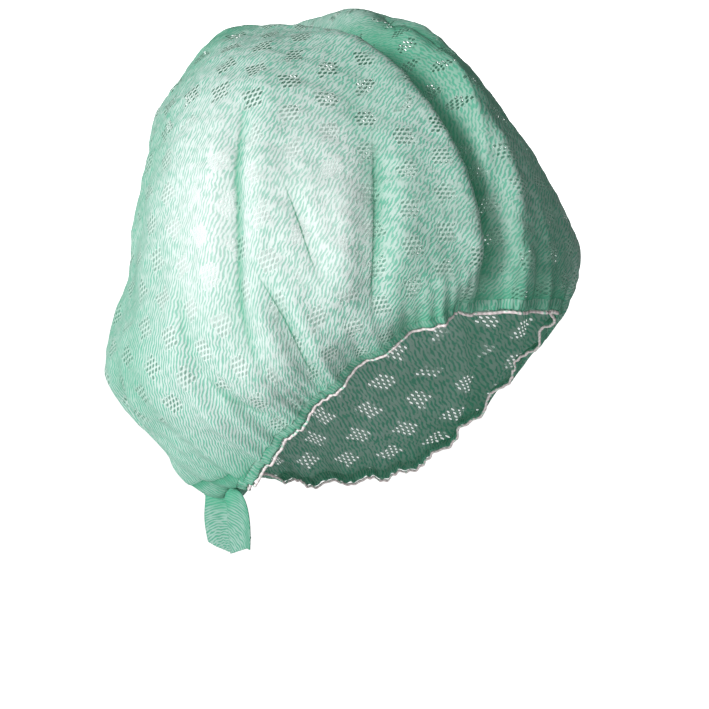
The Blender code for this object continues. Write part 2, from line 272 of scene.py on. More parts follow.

# Sharp creases in the folds. Places are as in FOLDS. groove and width in millimetres are the
# crease itself. step is how far the cloth on its left stands over that on its right, and reach
# is how far that is felt. line is how deep in colour the crease is, as doubled cloth and painted
# shade, and band is how deep the painted shade is on the cloth on its right; a band below 0 is
# one on its left.
CREASES = [
    # from_az, from_up, mid_az, mid_up, to_az, to_up, groove, width, step, reach, line, band
    (-79.5, 0.6, -86.5, 0.4, -85.5, 0.15, 0.5, 1.6, 2.0, 9.0, 0.25, 0.95),
    (-69.5, 0.43, -67, 0.35, -65, 0.27, 0.15, 0.9, 0.3, 5.0, 1.0, 0.1),
    (-44, 0.46, -51, 0.3, -54, 0.12, 0.4, 1.1, 1.5, 9.0, 0.9, 0.6),
    (-78, 0.3, -72, 0.2, -75, 0.0, 0.3, 1.0, 0.8, 6.0, 0.95, 0.35),
    (-102, 0.23, -100, 0.11, -93, 0.04, 0.3, 1.6, 0.9, 7.0, 0.3, 0.5),
    (-103, 0.34, -103, 0.27, -101, 0.2, 0.3, 1.4, 0.5, 7.0, 0.25, 0.35),
    (-158, 0.125, -134, 0.035, -114, 0.0, 0.4, 1.2, -0.6, 5.0, 1.0, -0.8),
    (55, 0.86, 28, 0.84, 6, 0.76, 0.6, 1.2, 0.8, 6.0, 0.85, 0.4),
    (30, 0.78, 16, 0.74, 9, 0.64, 0.6, 1.2, 0.8, 6.0, 0.85, 0.4),
    (-5, 0.26, -8, 0.18, -11, 0.05, 0.2, 1.1, 0.2, 5.0, 0.3, 0.15),
    (-3, 0.25, -2, 0.15, 2, 0.04, 0.2, 1.1, -0.2, 5.0, 0.3, 0.15),
    (44, 0.46, 50, 0.3, 48, 0.06, 0.5, 1.2, 0.8, 7.0, 0.6, 0.4),
    (76, 0.6, 83, 0.42, 80, 0.15, 0.7, 1.5, 1.4, 9.0, 0.5, 0.6),
    (128, 0.62, 136, 0.42, 150, 0.16, 0.6, 1.4, 1.2, 9.0, 0.7, 0.5),
    (-132, 0.58, -142, 0.36, -150, 0.14, 0.6, 1.4, -1.2, 9.0, 0.5, 0.3),
]
# How far from a crease its line and band are drawn
CREASE_FELT = 0.0065

# The light ridge on the far lobe, as azimuth and share of the way up
RIDGE = [
    # azimuth, up
    (14, 0.68),
    (5, 0.6),
    (-1, 0.52),
    (-6, 0.42),
    (-9, 0.34),
    (-11, 0.27),
]
RIDGE_RISE = 0.003
RIDGE_LEFT = 0.008
RIDGE_RIGHT = 0.0025

# How far the stripes lean from straight up, in degrees, positive towards growing azimuth
LEAN = [
    # azimuth, lean
    (-180, -12),
    (-150, -4),
    (-125, 4),
    (-100, 14),
    (-80, 26),
    (-64, 37),
    (-46, 47),
    (-13, 50),
    (20, 48),
    (40, 48),
    (70, 34),
    (110, 14),
    (150, 0),
    (180, -12),
]
# How much more they lean low on the wearer's right, where they gather to the tail
LOW_LEAN = 50.0

# Broad soft swells of the drawn cloth, and hollows below 0
SWELLS = [
    # azimuth, up, reach and height in millimetres
    (36, 0.45, 34.0, -2.6),
    (24, 0.52, 22.0, -0.6),
    (-92, 0.86, 26.0, -3.2),
    (-61, 0.8, 20.0, -3.0),
    (-137, 0.6, 18.0, 3.4),
    (-131, 0.36, 26.0, -3.4),
    (72, 0.93, 20.0, 2.0),
    (16, 0.68, 10.0, 1.5),
    (-142, 0.1, 18.0, 3.0),
]


def cubic(before, start, end, after, t):
    """Catmull-Rom blend of four neighbours."""
    return 0.5 * (
        2.0 * start
        + (end - before) * t
        + (2.0 * before - 5.0 * start + 4.0 * end - after) * t**2
        + (3.0 * start - before - 3.0 * end + after) * t**3
    )


def along(rows, share):
    """Smooth values at a share of the way through rows that carry one extra row at each end."""
    spans = len(rows) - 3
    place = np.clip(share, 0.0, 1.0) * spans
    index = np.minimum(place.astype(int), spans - 1)
    t = (place - index)[..., None]
    return cubic(rows[index], rows[index + 1], rows[index + 2], rows[index + 3], t)


def fade(low, high, value):
    """0 up to low and 1 from high on, smooth between. high may be the lower one."""
    t = np.clip((value - low) / (high - low), 0.0, 1.0)
    return t * t * (3.0 - 2.0 * t)


def size(vectors):
    return np.linalg.norm(vectors, axis=-1)


def dot(first, second):
    return np.sum(first * second, axis=-1)


def unit(vectors):
    return vectors / np.maximum(size(vectors), 1e-12)[..., None]


def wrapped(angle):
    """The same angle between -pi and pi."""
    return (angle + math.pi) % TURN - math.pi


def rim_height(azimuth):
    folded = np.abs(wrapped(azimuth))
    shares = np.array([row[1] for row in RIM])
    mirrored = np.concatenate((shares[1:2], shares, shares[-2:-1]))[:, None]
    share = along(mirrored, folded / math.pi)[..., 0]
    return RIM_DROP * (share - 0.5) - RIM_TILT * np.sin(azimuth)


def ring_rows():
    rows = [(0.0, 0.0, OPENING_FRONT, OPENING_HALF_WIDTH, OPENING_BACK, 1.0, 1.0)]
    for rise, lean, front, side, back, front_corner, back_corner in RINGS:
        sizes = (CROWN_LEAN * lean, CROWN_FRONT * front, CROWN_SIDE * side, CROWN_BACK * back)
        rows.append((rise, *sizes, front_corner, back_corner))
    table = np.array(rows)
    below = 2.0 * table[0] - table[1]
    beyond = table[-2] * np.array([1.0, 1.0, -1.0, -1.0, -1.0, 1.0, 1.0])
    return np.vstack((below, table, beyond))


def nape_sag(azimuth, up):
    off_nape = OPENING_BACK * (azimuth % TURN - math.pi - NAPE_TURN) / NAPE_SAG_SPREAD
    place = up * CROWN_HEIGHT / NAPE_SAG_PLACE
    return NAPE_SAG * place * np.exp(1.0 - place) * np.exp(-(off_nape**2))


def smooth_crown(azimuth, up):
    """Points of the crown before its valley and folds. up is 0 at the hem and 1 at the top."""
    ring = np.moveaxis(along(ring_rows(), up), -1, 0)
    rise, lean, front, side, back, front_corner, back_corner = ring
    ahead = np.cos(azimuth) > 0.0
    depth = np.where(ahead, front, back)
    corner = np.where(ahead, front_corner, back_corner)
    oval = np.hypot(np.sin(azimuth) * depth, np.cos(azimuth) * side)
    reach = depth * side / np.maximum(oval, 1e-9)
    reach = reach * (1.0 + (corner - 1.0) * np.sin(2.0 * azimuth) ** 2)
    top = RIM_DROP / 2.0 + CROWN_HEIGHT
    low = rim_height(azimuth)
    x = reach * np.sin(azimuth)
    y = lean - reach * np.cos(azimuth)
    z = low + (top - low) * rise + CROWN_TILT * rise**2 * x / CROWN_SIDE
    return np.stack((x, y, z - nape_sag(azimuth, up)), axis=-1)


def add_valley(points):
    """Sinks the valley towards the head and lifts the crests on both sides of it."""
    ahead = CROWN_LEAN / 4.0 - points[..., 1]
    above = points[..., 2] - RIM_DROP / 2.0
    turn = np.degrees(np.arctan2(above, ahead))
    turn = np.where(turn < -60.0, turn + 360.0, turn)
    turns, sides, depths, nears, fars = np.array(VALLEY).T
    offset = points[..., 0] - CROWN_SIDE * np.interp(turn, turns, sides)
    depth = VALLEY_DEPTH * np.interp(turn, turns, depths)
    near_width = VALLEY_NEAR_WIDTH * np.interp(turn, turns, nears)
    far_width = VALLEY_FAR_WIDTH * np.interp(turn, turns, fars)
    width = np.where(offset < 0.0, near_width, far_width)
    sink = depth * np.exp(-((np.abs(offset) / width) ** VALLEY_SQUARENESS))
    near_crest = offset / near_width + NEAR_CREST_PLACE
    far_crest = offset / far_width - FAR_CREST_PLACE
    share = depth / VALLEY_DEPTH
    lift = CREST_RISE * share * (np.exp(-(near_crest**2)) + np.exp(-(far_crest**2)))
    inward = (sink - lift) / np.maximum(np.hypot(ahead, above), 1e-6)
    moved = points.copy()
    moved[..., 1] += ahead * inward
    moved[..., 2] -= above * inward
    return moved


def folded_crown(azimuth, up):
    return add_valley(smooth_crown(azimuth, up))


def outward(azimuth, up):
    """Unit normals of the crown, pointing out."""
    step = 1e-4
    aside = folded_crown(azimuth + step, up) - folded_crown(azimuth - step, up)
    rise = folded_crown(azimuth, up + step) - folded_crown(azimuth, up - step)
    return unit(np.cross(aside, rise))


def course_of(row):
    """Azimuths in radians, shares of the way up and points along one fold or crease."""
    from_az, from_up, mid_az, mid_up, to_az, to_up = row[:6]
    t = np.linspace(0.0, 1.0, COURSE_PLACES)
    weights = ((1.0 - t) ** 2, 2.0 * t * (1.0 - t), t**2)
    azimuth = np.radians(weights[0] * from_az + weights[1] * mid_az + weights[2] * to_az)
    up = weights[0] * from_up + weights[1] * mid_up + weights[2] * to_up
    return azimuth, up, folded_crown(azimuth, up)


def near_course(points, course, reach):
    """Which points lie near a course, how far off it and beside which of its places."""
    low = course.min(axis=0) - reach
    high = course.max(axis=0) + reach
    near = np.all((points > low) & (points < high), axis=-1)
    gaps = size(points[near][:, None, :] - course)
    return near, gaps.min(axis=-1), gaps.argmin(axis=-1)


def taper_along(nearest, count, power):
    return np.sin(math.pi * (nearest + 1.0) / (count + 1.0)) ** power


def fold_depths(points):
    """How far each point is pressed in by the folds."""
    press = np.zeros(points.shape[:-1])
    for row in FOLDS:
        course = course_of(row)[2]
        width = FOLD_WIDTH * row[6]
        near, gap, nearest = near_course(points, course, 4.0 * width)
        gap = gap / width
        groove = np.exp(-(gap**2)) - FOLD_LIP * np.exp(-((gap - FOLD_LIP_PLACE) ** 2))
        press[near] += FOLD_DEPTH * row[7] * taper_along(nearest, len(course), FOLD_TAPER) * groove
    return press


def beside_crease(points, row, reach):
    """Which points lie near a crease, how far right of it and off it, and its nearest places."""
    azimuth, up, course = course_of(row)
    near, _, nearest = near_course(points, course, reach)
    ways = unit(np.gradient(course, axis=0))
    asides = unit(np.cross(ways, outward(azimuth, up)))
    rightward = folded_crown(azimuth + 1e-3, up) - course
    asides = asides * np.sign(dot(asides, rightward))[:, None]
    offset = points[near] - course[nearest]
    side = dot(offset, asides[nearest])
    past = np.abs(dot(offset, ways[nearest]))
    return near, side, np.hypot(side, np.maximum(past - 0.003, 0.0)), nearest


def crease_depths(points):
    """The sharp creases: a fine groove, and a step between the cloth on its two sides."""
    press = np.zeros(points.shape[:-1])
    for row in CREASES:
        groove, width, step, reach = (value / 1000.0 for value in row[6:10])
        near, side, gap, nearest = beside_crease(points, row, 3.5 * reach)
        fine = groove * np.exp(-((gap / width) ** 1.3))
        stand = 0.5 * step * np.tanh(side / (0.5 * width)) * np.exp(-((gap / reach) ** 2))
        press[near] += taper_along(nearest, COURSE_PLACES, 0.8) * (fine + stand)
    return press


def crease_marks(points):
    """How far right of a crease each point is, and how deep its line and its band of painted shade
    are.
    """
    offsets = np.full(points.shape[:-1], 2.0 * CREASE_FELT)
    lines = np.zeros(points.shape[:-1])
    bands = np.zeros(points.shape[:-1])
    for row in CREASES:
        near, side, gap, nearest = beside_crease(points, row, 2.0 * CREASE_FELT)
        closer = gap < np.abs(offsets[near])
        felt = fade(CREASE_FELT, 0.6 * CREASE_FELT, gap)
        felt = felt * taper_along(nearest, COURSE_PLACES, 0.6)
        where = tuple(axis[closer] for axis in np.nonzero(near))
        offsets[where] = (side * math.copysign(1.0, row[11]))[closer]
        lines[where] = (felt * row[10])[closer]
        bands[where] = (felt * abs(row[11]))[closer]
    return offsets, lines, bands


def ridge_rise(points, azimuths):
    """The light ridge on the far lobe, steeper on its right."""
    places = np.array(RIDGE, dtype=float)
    ends = np.vstack((2.0 * places[0] - places[1], places, 2.0 * places[-1] - places[-2]))
    smooth = along(ends, np.linspace(0.0, 1.0, 61))
    course_azimuth = np.radians(smooth[:, 0])
    course = folded_crown(course_azimuth, smooth[:, 1])
    near, gap, nearest = near_course(points, course, 3.0 * RIDGE_LEFT)
    side = wrapped(azimuths[near] - course_azimuth[nearest])
    width = np.where(side < 0.0, RIDGE_LEFT, RIDGE_RIGHT)
    lift = np.zeros(points.shape[:-1])
    taper = taper_along(nearest, len(course), 0.5)
    lift[near] = RIDGE_RISE * taper * np.exp(-((gap / width) ** 1.2))
    return lift


def ripples(azimuth, count, drift, seed, height=1.0):
    """A wave round the rim whose length and height wander. Without a seam at any azimuth."""
    rng = np.random.default_rng(seed)
    phase = count * azimuth
    swell = np.ones_like(azimuth)
    for turns in (2, 3, 5, 7, 11):
        sway, start = drift * rng.uniform(0.4, 1.0), rng.uniform(0.0, 6.28)
        phase = phase + sway * np.sin(turns * azimuth + start)
        sway, start = 0.35 * rng.uniform(0.4, 1.0), rng.uniform(0.0, 6.28)
        swell = swell + sway * np.sin(turns * azimuth + start)
    return height * np.cos(phase) * swell


def gather_depths(azimuth, up):
    """Ripples that the drawn elastic makes in the cloth above the hem."""
    height = up * CROWN_HEIGHT
    ripple = np.cos(GATHERS * azimuth + GATHER_DRIFT * np.sin(GATHER_DRIFTS * azimuth))
    press = GATHER_DEPTH * ripple * np.exp(-height / GATHER_REACH)
    fine = ripples(azimuth, FINE_GATHERS, 2.2, 3)
    press += FINE_GATHER_DEPTH * fine * np.exp(-height / FINE_GATHER_REACH)
    long = ripples(azimuth, LONG_GATHERS, 1.8, 4)
    reach = LONG_GATHER_REACH * (1.0 + 0.5 * ripples(azimuth, 5, 0.8, 5))
    degrees = np.degrees(wrapped(azimuth))
    smooth_side = fade(-14.0, 0.0, degrees) * fade(80.0, 55.0, degrees)
    depth = LONG_GATHER_DEPTH * (1.0 - 0.75 * smooth_side)
    press += depth * long * np.exp(-((height / np.maximum(reach, 0.006)) ** 1.5))
    return press


def swells(points):
    """How far the drawn cloth stands out in its broad swells."""
    total = np.zeros(points.shape[:-1])
    for azimuth, up, reach, height in SWELLS:
        middle = folded_crown(np.radians(np.array([azimuth])), np.array([up]))[0]
        away = size(points - middle) / (reach / 1000.0)
        total += height / 1000.0 * np.exp(-(away**2))
    return total


def soft_waves(points, depth, length, seed):
    """Gentle uneven swells of thin cloth."""
    rng = np.random.default_rng(seed)
    total = np.zeros(points.shape[:-1])
    for _ in range(SOFT_WAVE_COUNT):
        way = unit(rng.normal(size=3))
        wave = length * rng.uniform(0.6, 1.8)
        total += np.sin(points @ way * TURN / wave + rng.uniform(0.0, 6.28))
    return depth * total / math.sqrt(SOFT_WAVE_COUNT)


def column_azimuths():
    """The azimuth of each column in radians, from 0 up, closer together where the cap is finest."""
    fine = np.linspace(0.0, 360.0, 3601)
    folded = (fine + 180.0) % 360.0 - 180.0
    window = fade(CLOSE_FROM - 12.0, CLOSE_FROM + 12.0, folded)
    window = window * fade(CLOSE_TO + 12.0, CLOSE_TO - 12.0, folded)
    density = 1.0 + CLOSER * window
    share = np.concatenate(([0.0], np.cumsum((density[1:] + density[:-1]) / 2.0)))
    places = np.arange(COLUMNS) * share[-1] / COLUMNS
    return np.radians(np.interp(places, share, fine))


def creased(azimuths, ups):
    """Points of the folded crown, and how far folds, creases and gathers press them in."""
    points = folded_crown(azimuths, ups)
    return points, fold_depths(points) + crease_depths(points) + gather_depths(azimuths, ups)


def cloth_points():
    """The drawn crown as rows going up, and its azimuths and shares of the way up."""
    azimuths, ups = np.meshgrid(column_azimuths(), np.arange(ROWS) / ROWS)
    points, press = creased(azimuths, ups)
    press -= ridge_rise(points, azimuths) + swells(points) * fade(0.0, 0.06, ups)
    calm = fade(0.0, 0.12, ups) * fade(0.99, 0.9, ups)
    press += calm * sum(soft_waves(points, *row) for row in SOFT_WAVES)
    return points - outward(azimuths, ups) * press[..., None], azimuths, ups


def stripe_ways(azimuths, ups, far):
    """Unit vectors along and across the stripes at each place, on one of the two lobes."""
    step = 1e-3
    aside = unit(folded_crown(azimuths + step, ups) - folded_crown(azimuths - step, ups))
    rise = unit(folded_crown(azimuths, ups + step) - folded_crown(azimuths, ups - step))
    normal = unit(np.cross(aside, rise))
    table = np.array(LEAN, dtype=float)
    degrees = np.degrees(wrapped(azimuths))
    lean = np.interp(degrees, table[:, 0], table[:, 1])
    window = fade(-176.0, -152.0, degrees) * fade(-74.0, -100.0, degrees)
    lean = np.radians(lean + LOW_LEAN * window * fade(0.4, 0.06, ups))[..., None]
    way = np.cos(lean) * rise + np.sin(lean) * aside
    # Over the top they run straight on, another way on each lobe
    over_top = np.array([0.15, 1.0, 0.0]) if far else np.array([1.0, 0.15, 0.0])
    flat = unit(over_top - normal * (normal @ over_top)[..., None])
    share = fade(0.55, 0.85, ups)[..., None]
    if far:
        share = share * fade(100.0, 60.0, np.abs(degrees))[..., None]
    else:
        share = share * fade(30.0, 60.0, 180.0 - np.abs(degrees))[..., None]
    way = unit((1.0 - share) * way + share * flat)
    across = np.cross(way, normal)
    return way, across


def solve_phase(points, gradient):
    """The field over a grid of points whose slope follows the gradient best."""
    beside = points[:, 1:] - points[:, :-1]
    above = points[1:] - points[:-1]
    wide = size(beside) + 1e-5
    tall = size(above) + 1e-5
    goal_beside = dot(beside, (gradient[:, 1:] + gradient[:, :-1]) / 2.0)
    goal_above = dot(above, (gradient[1:] + gradient[:-1]) / 2.0)
    tall_row = np.vstack((tall[:1], tall))[:, :-1]
    wide_column = np.hstack((wide[:, :1], wide))[:-1]
    weight_beside = tall_row / wide
    weight_above = wide_column / tall

    def spread(beside_flow, above_flow):
        total = np.zeros(points.shape[:-1])
        total[:, 1:] += beside_flow
        total[:, :-1] -= beside_flow
        total[1:] += above_flow
        total[:-1] -= above_flow
        return total

    def apply(field):
        return spread(
            weight_beside * (field[:, 1:] - field[:, :-1]),
            weight_above * (field[1:] - field[:-1]),
        )

    goal = spread(weight_beside * goal_beside, weight_above * goal_above)
    diagonal = np.zeros(points.shape[:-1])
    diagonal[:, 1:] += weight_beside
    diagonal[:, :-1] += weight_beside
    diagonal[1:] += weight_above
    diagonal[:-1] += weight_above
    field = np.zeros(points.shape[:-1])
    rest = goal - apply(field)
    scaled = rest / diagonal
    way = scaled.copy()
    power = np.sum(rest * scaled)
    for _ in range(PHASE_STEPS):
        image = apply(way)
        length = power / np.sum(way * image)
        field += length * way
        rest -= length * image
        scaled = rest / diagonal
        renewed = np.sum(rest * scaled)
        if renewed < 1e-18:
            break
        way = scaled + way * (renewed / power)
        power = renewed
    return field


def finer(field, rows, columns):
    """A coarse grid of values at a finer grid's places."""
    row = np.linspace(0.0, field.shape[0] - 1.0, rows)
    column = np.linspace(0.0, field.shape[1] - 1.0, columns)
    low_row = np.minimum(row.astype(int), field.shape[0] - 2)
    low_column = np.minimum(column.astype(int), field.shape[1] - 2)
    down = (row - low_row)[:, None]
    over = (column - low_column)[None, :]
    a = field[np.ix_(low_row, low_column)]
    b = field[np.ix_(low_row, low_column + 1)]
    c = field[np.ix_(low_row + 1, low_column)]
    d = field[np.ix_(low_row + 1, low_column + 1)]
    return (a * (1 - over) + b * over) * (1 - down) + (c * (1 - over) + d * over) * down


def lobe_weave(first, last, far):
    """The pattern's two coordinates, in metres, over one lobe's columns."""
    spans = last - first
    columns = column_azimuths()
    turned = np.concatenate((columns, columns + TURN))
    places = np.linspace(first, last, spans // COARSE + 1)
    azimuth = np.interp(places, np.arange(2 * COLUMNS), turned)
    count = ROWS // COARSE + 1
    up = np.linspace(0.0, (ROWS - 1.0) / ROWS, count)
    azimuths, ups = np.meshgrid(azimuth, up)
    points = folded_crown(azimuths, ups)
    along_way, across_way = stripe_ways(azimuths, ups, far)
    fields = [finer(solve_phase(points, way), ROWS, spans + 1) for way in (across_way, along_way)]
    return np.stack(fields, axis=-1)


def mesh_object(name, places, faces):
    mesh = bpy.data.meshes.new(name)
    mesh.from_pydata(places, [], faces)
    mesh.shade_smooth()
    thing = bpy.data.objects.new(name, mesh)
    bpy.context.scene.collection.objects.link(thing)
    return thing


def grid_object(name, points, closed, top=None):
    """An object from rows of points, all four-sided faces, with an optional fan to a top point."""
    rows, columns = points.shape[:2]
    spans = columns if closed else columns - 1
    index = np.arange(rows * columns).reshape(rows, columns)
    after = np.roll(index, -1, axis=1)[:, :spans]
    here = index[:, :spans]
    quads = np.stack((here[:-1], after[:-1], after[1:], here[1:]), axis=-1).reshape(-1, 4)
    faces = quads.tolist()
    places = points.reshape(-1, 3).tolist()
    if top is not None:
        places.append(list(top))
        peak = rows * columns
        faces += [[int(here[-1, i]), int(after[-1, i]), peak] for i in range(spans)]
    return mesh_object(name, places, faces)


def set_weave(thing, corners):
    """Stores the pattern's coordinates on the corners of the faces."""
    layer = thing.data.uv_layers.new(name="weave")
    layer.uv.foreach_set("vector", corners.astype(np.float32).ravel())


def set_values(thing, name, values):
    """Stores one number on each vertex."""
    layer = thing.data.attributes.new(name, "FLOAT", "POINT")
    layer.data.foreach_set("value", values.astype(np.float32).ravel())


class Graph:
    """Short calls to make and join shader nodes."""

    def __init__(self, owner):
        owner.use_nodes = True
        self.owner = owner
        self.tree = owner.node_tree
        self.tree.nodes.clear()

    def node(self, kind, inputs=None, **settings):
        made = self.tree.nodes.new("ShaderNode" + kind)
        for key, value in settings.items():
            setattr(made, key, value)
        for key, value in (inputs or {}).items():
            if isinstance(value, bpy.types.Node):
                value = value.outputs[0]
            if isinstance(value, bpy.types.NodeSocket):
                self.tree.links.new(value, made.inputs[key])
            else:
                made.inputs[key].default_value = value
        return made

    def math(self, operation, *values):
        return self.node("Math", dict(enumerate(values)), operation=operation)

    def times(self, first, *others):
        for other in others:
            first = self.math("MULTIPLY", first, other)
        return first

    def scaled(self, value, factor, base):
        return self.math("MULTIPLY_ADD", value, factor, base)

    def between(self, share, ends):
        """The first of two values where share is 0, and the second where it is 1."""
        return self.scaled(share, ends[1] - ends[0], ends[0])

    def rest(self, value):
        """What is left of 1."""
        return self.math("SUBTRACT", 1.0, value)

    def centred(self, value):
        return self.math("SUBTRACT", value, 0.5)

    def step(self, value, low, high):
        """0 below low and 1 above high, smooth between."""
        inputs = {"Value": value, "From Min": low, "From Max": high}
        return self.node("MapRange", inputs, interpolation_type="SMOOTHSTEP")

    def mix(self, share, a, b):
        """Colour a where share is 0, b where it is 1."""
        return self.node("Mix", {0: share, 6: a, 7: b}, data_type="RGBA").outputs[2]

    def noise(self, vector, scale, detail):
        return self.node("TexNoise", {"Vector": vector, "Scale": scale, "Detail": detail})

    def face(self, colour, roughness, gloss, **others):
        """A plain surface."""
        inputs = {"Base Color": colour, "Roughness": roughness, "Specular IOR Level": gloss}
        return self.node("BsdfPrincipled", {**inputs, **others})

    def value(self, name):
        """A number that is stored on the vertices."""
        return self.node("Attribute", attribute_name=name).outputs["Fac"]

    def dot(self, vector, way):
        inputs = {0: vector, 1: way}
        return self.node("VectorMath", inputs, operation="DOT_PRODUCT").outputs["Value"]


def rgb(red, green, blue):
    """A colour from screen values 0 to 255."""
    linear = []
    for value in (red / 255.0, green / 255.0, blue / 255.0):
        linear.append(((value + 0.055) / 1.055) ** 2.4)
    return (*linear, 1.0)


def cloth_material(name, strand, gap, deep, openwork, thin):
    """Striped nonwoven. thin is the share of light that comes through it."""
    g = Graph(bpy.data.materials.new(name))
    weave = g.node("UVMap", uv_map="weave")
    parts = g.node("SeparateXYZ", {0: weave})
    across, lengthwise = parts.outputs[0], parts.outputs[1]
    place = g.node("NewGeometry")
    steady, plain, stretched_and_highlight = g.value("steady"), g.value("plain"), g.value("stretched_and_highlight")

    # Wavy strands with short irregular gaps between them
    drift = g.noise(weave, 70.0, 1.0)
    jitter = g.noise(weave, 420.0, 1.0)
    drawn_out = g.node("CombineXYZ", {0: across, 1: g.times(lengthwise, 0.42)})
    breaks = g.noise(drawn_out, 720.0, 1.0)
    wander = g.times(g.centred(drift), WANDER)
    wave_place = g.scaled(lengthwise, TURN / WAVE_LENGTH, g.times(drift, 20.0))
    wave = g.times(g.math("SINE", wave_place), WAVE_HEIGHT)
    shiver = g.times(g.centred(jitter), g.between(steady, (0.0009, 0.0007)))
    shifted = g.math("ADD", g.math("ADD", across, wave), g.math("ADD", wander, shiver))
    valley = g.math("SINE", g.times(shifted, TURN / STRIPE))
    valley = g.scaled(valley, 0.5, 0.5)
    broken = g.times(g.centred(breaks), g.between(steady, (3.3, 1.7)))
    slits = g.step(g.math("ADD", valley, broken), 0.15, 1.05)

    # Eyelets in cells, every other column half a cell further on
    column_place = g.math("DIVIDE", g.math("ADD", across, wander), EYELET_ACROSS)
    column = g.math("FLOOR", column_place)
    beside = g.centred(g.math("SUBTRACT", column_place, column))
    odd = g.times(g.math("FLOORED_MODULO", column, 2.0), 0.5)
    row_place = g.scaled(lengthwise, 1.0 / EYELET_ALONG, odd)
    row = g.math("FLOOR", row_place)
    beyond = g.centred(g.math("SUBTRACT", row_place, row))
    wide = g.math("DIVIDE", g.scaled(beyond, EYELET_SLANT, beside), EYELET_HALF_WIDTH)
    tall = g.math("ABSOLUTE", g.math("DIVIDE", beyond, EYELET_HALF_LENGTH))
    oval = g.math("ADD", g.math("ABSOLUTE", wide), g.math("POWER", tall, 2.0))

    # Diamonds that whole eyelets lie in or out of, every other row half a diamond further on
    centre_across = g.times(g.math("ADD", column, 0.5), EYELET_ACROSS)
    centre_along = g.times(g.math("SUBTRACT", g.math("ADD", row, 0.5), odd), EYELET_ALONG)
    diamond_row_place = g.math("DIVIDE", centre_along, DIAMOND_ALONG)
    diamond_row = g.math("FLOOR", diamond_row_place)
    diamond_odd = g.times(g.math("FLOORED_MODULO", diamond_row, 2.0), 0.5)
    diamond_column_place = g.scaled(centre_across, 1.0 / DIAMOND_ACROSS, diamond_odd)
    x = g.math("ABSOLUTE", g.centred(g.math("FRACT", diamond_column_place)))
    y = g.math("ABSOLUTE", g.centred(g.math("FRACT", diamond_row_place)))
    x_share = g.times(x, DIAMOND_ACROSS / DIAMOND_HALF_WIDTH)
    y_share = g.times(y, DIAMOND_ALONG / DIAMOND_HALF_LENGTH)
    diamond = g.rest(g.step(g.math("ADD", x_share, y_share), 0.88, 0.98))
    chance = g.times(g.noise(weave, 30.0, 1.0), openwork)
    diamond = g.times(diamond, g.step(g.math("SUBTRACT", chance, plain), 0.34, 0.46))
    eyelet = g.times(g.rest(g.step(oval, 0.7, 1.0)), diamond)
    eyelet_rim = g.times(g.rest(g.step(oval, 1.0, 1.9)), diamond)
    high = g.step(g.node("SeparateXYZ", {0: place}).outputs[2], 0.105, 0.15)
    hole = g.times(eyelet, g.scaled(stretched_and_highlight, -0.85, 1.0))
    hole = g.times(hole, g.between(high, (0.6, 1.0)))

    # Colours of the strands, the gaps between them, and the paler cloth over the side of the head
    # with its painted highlight
    patchy = g.noise(weave, 48.0, 2.0)
    fibres = g.noise(weave, 1500.0, 2.0)
    strength = g.scaled(patchy, 0.7, g.between(steady, (0.6, 0.75)))
    shade = g.times(slits, strength, g.scaled(diamond, -0.7, 1.0))
    shade = g.scaled(eyelet_rim, 0.55, shade)
    shade = g.scaled(g.centred(fibres), 0.4, shade)
    colour = g.mix(g.step(shade, -0.1, 1.1), strand, gap)
    whiter = g.times(diamond, g.rest(eyelet_rim), 0.75)
    colour = g.mix(whiter, colour, rgb(*DIAMOND_THREAD))
    # Painted highlight where the key light falls on the side of the head, whitest in the eyelets
    paler = g.times(stretched_and_highlight, g.scaled(shade, -0.3, 0.62))
    colour = g.mix(paler, colour, rgb(*STRETCHED_HIGHLIT_CLOTH))
    colour = g.mix(g.times(eyelet, stretched_and_highlight), colour, rgb(*STRETCHED_HIGHLIT_EYELET))

    # Deeper where the cloth is gathered, with painted shade in the folds, the valley, the far lobe
    # and beside a crease, and deepest along it
    broad = g.scaled(g.noise(place, 24.0, 2.0), 0.7, -0.35)
    bunching_and_shade = g.math("ADD", g.value("bunching_and_shade"), broad)
    offset = g.value("crease_offset")
    waver = g.scaled(jitter, 0.0006, g.math("SUBTRACT", offset, 0.0003))
    crease_darkening = g.rest(g.step(g.math("ABSOLUTE", waver), 0.0001, 0.0005))
    crease_darkening = g.times(crease_darkening, g.value("crease_line"), g.between(breaks, (0.3, 1.5)))
    shadow = g.times(g.step(offset, -0.0002, 0.0006), g.rest(g.step(offset, 0.0006, 0.0058)))
    shadow = g.times(shadow, g.value("crease_band"), 0.9)
    bunching_and_shade = g.math("ADD", bunching_and_shade, shadow)
    # Mixed towards deep green by gathering and by painted shade
    colour = g.mix(g.times(g.step(bunching_and_shade, -0.1, 1.5), 0.85), colour, deep)
    # The crease's line: doubled cloth, and painted shade in the crease
    colour = g.mix(g.times(crease_darkening, 0.8), colour, rgb(*DOUBLED_AND_SHADED_CREASE))
    # Painted shade round the eyelets high on the cap, for the shaded inside seen through them
    darker = g.times(eyelet_rim, g.rest(stretched_and_highlight), g.between(high, (0.14, 0.72)))
    colour = g.mix(darker, colour, rgb(*EYELET_SHADE))

    height = g.scaled(fibres, 0.3, g.rest(slits))
    bump = g.node("Bump", {"Height": height, "Strength": 0.5, "Distance": 0.0003})
    face = g.face(colour, 0.6, 0.3, Normal=bump)
    through = g.node("BsdfTranslucent", {"Color": colour, "Normal": bump})
    body = g.node("MixShader", {0: thin, 1: face, 2: through})
    clear = g.node("BsdfTransparent")
    both = g.node("MixShader", {0: hole, 1: body, 2: clear})
    g.node("OutputMaterial", {"Surface": both})
    return g.owner


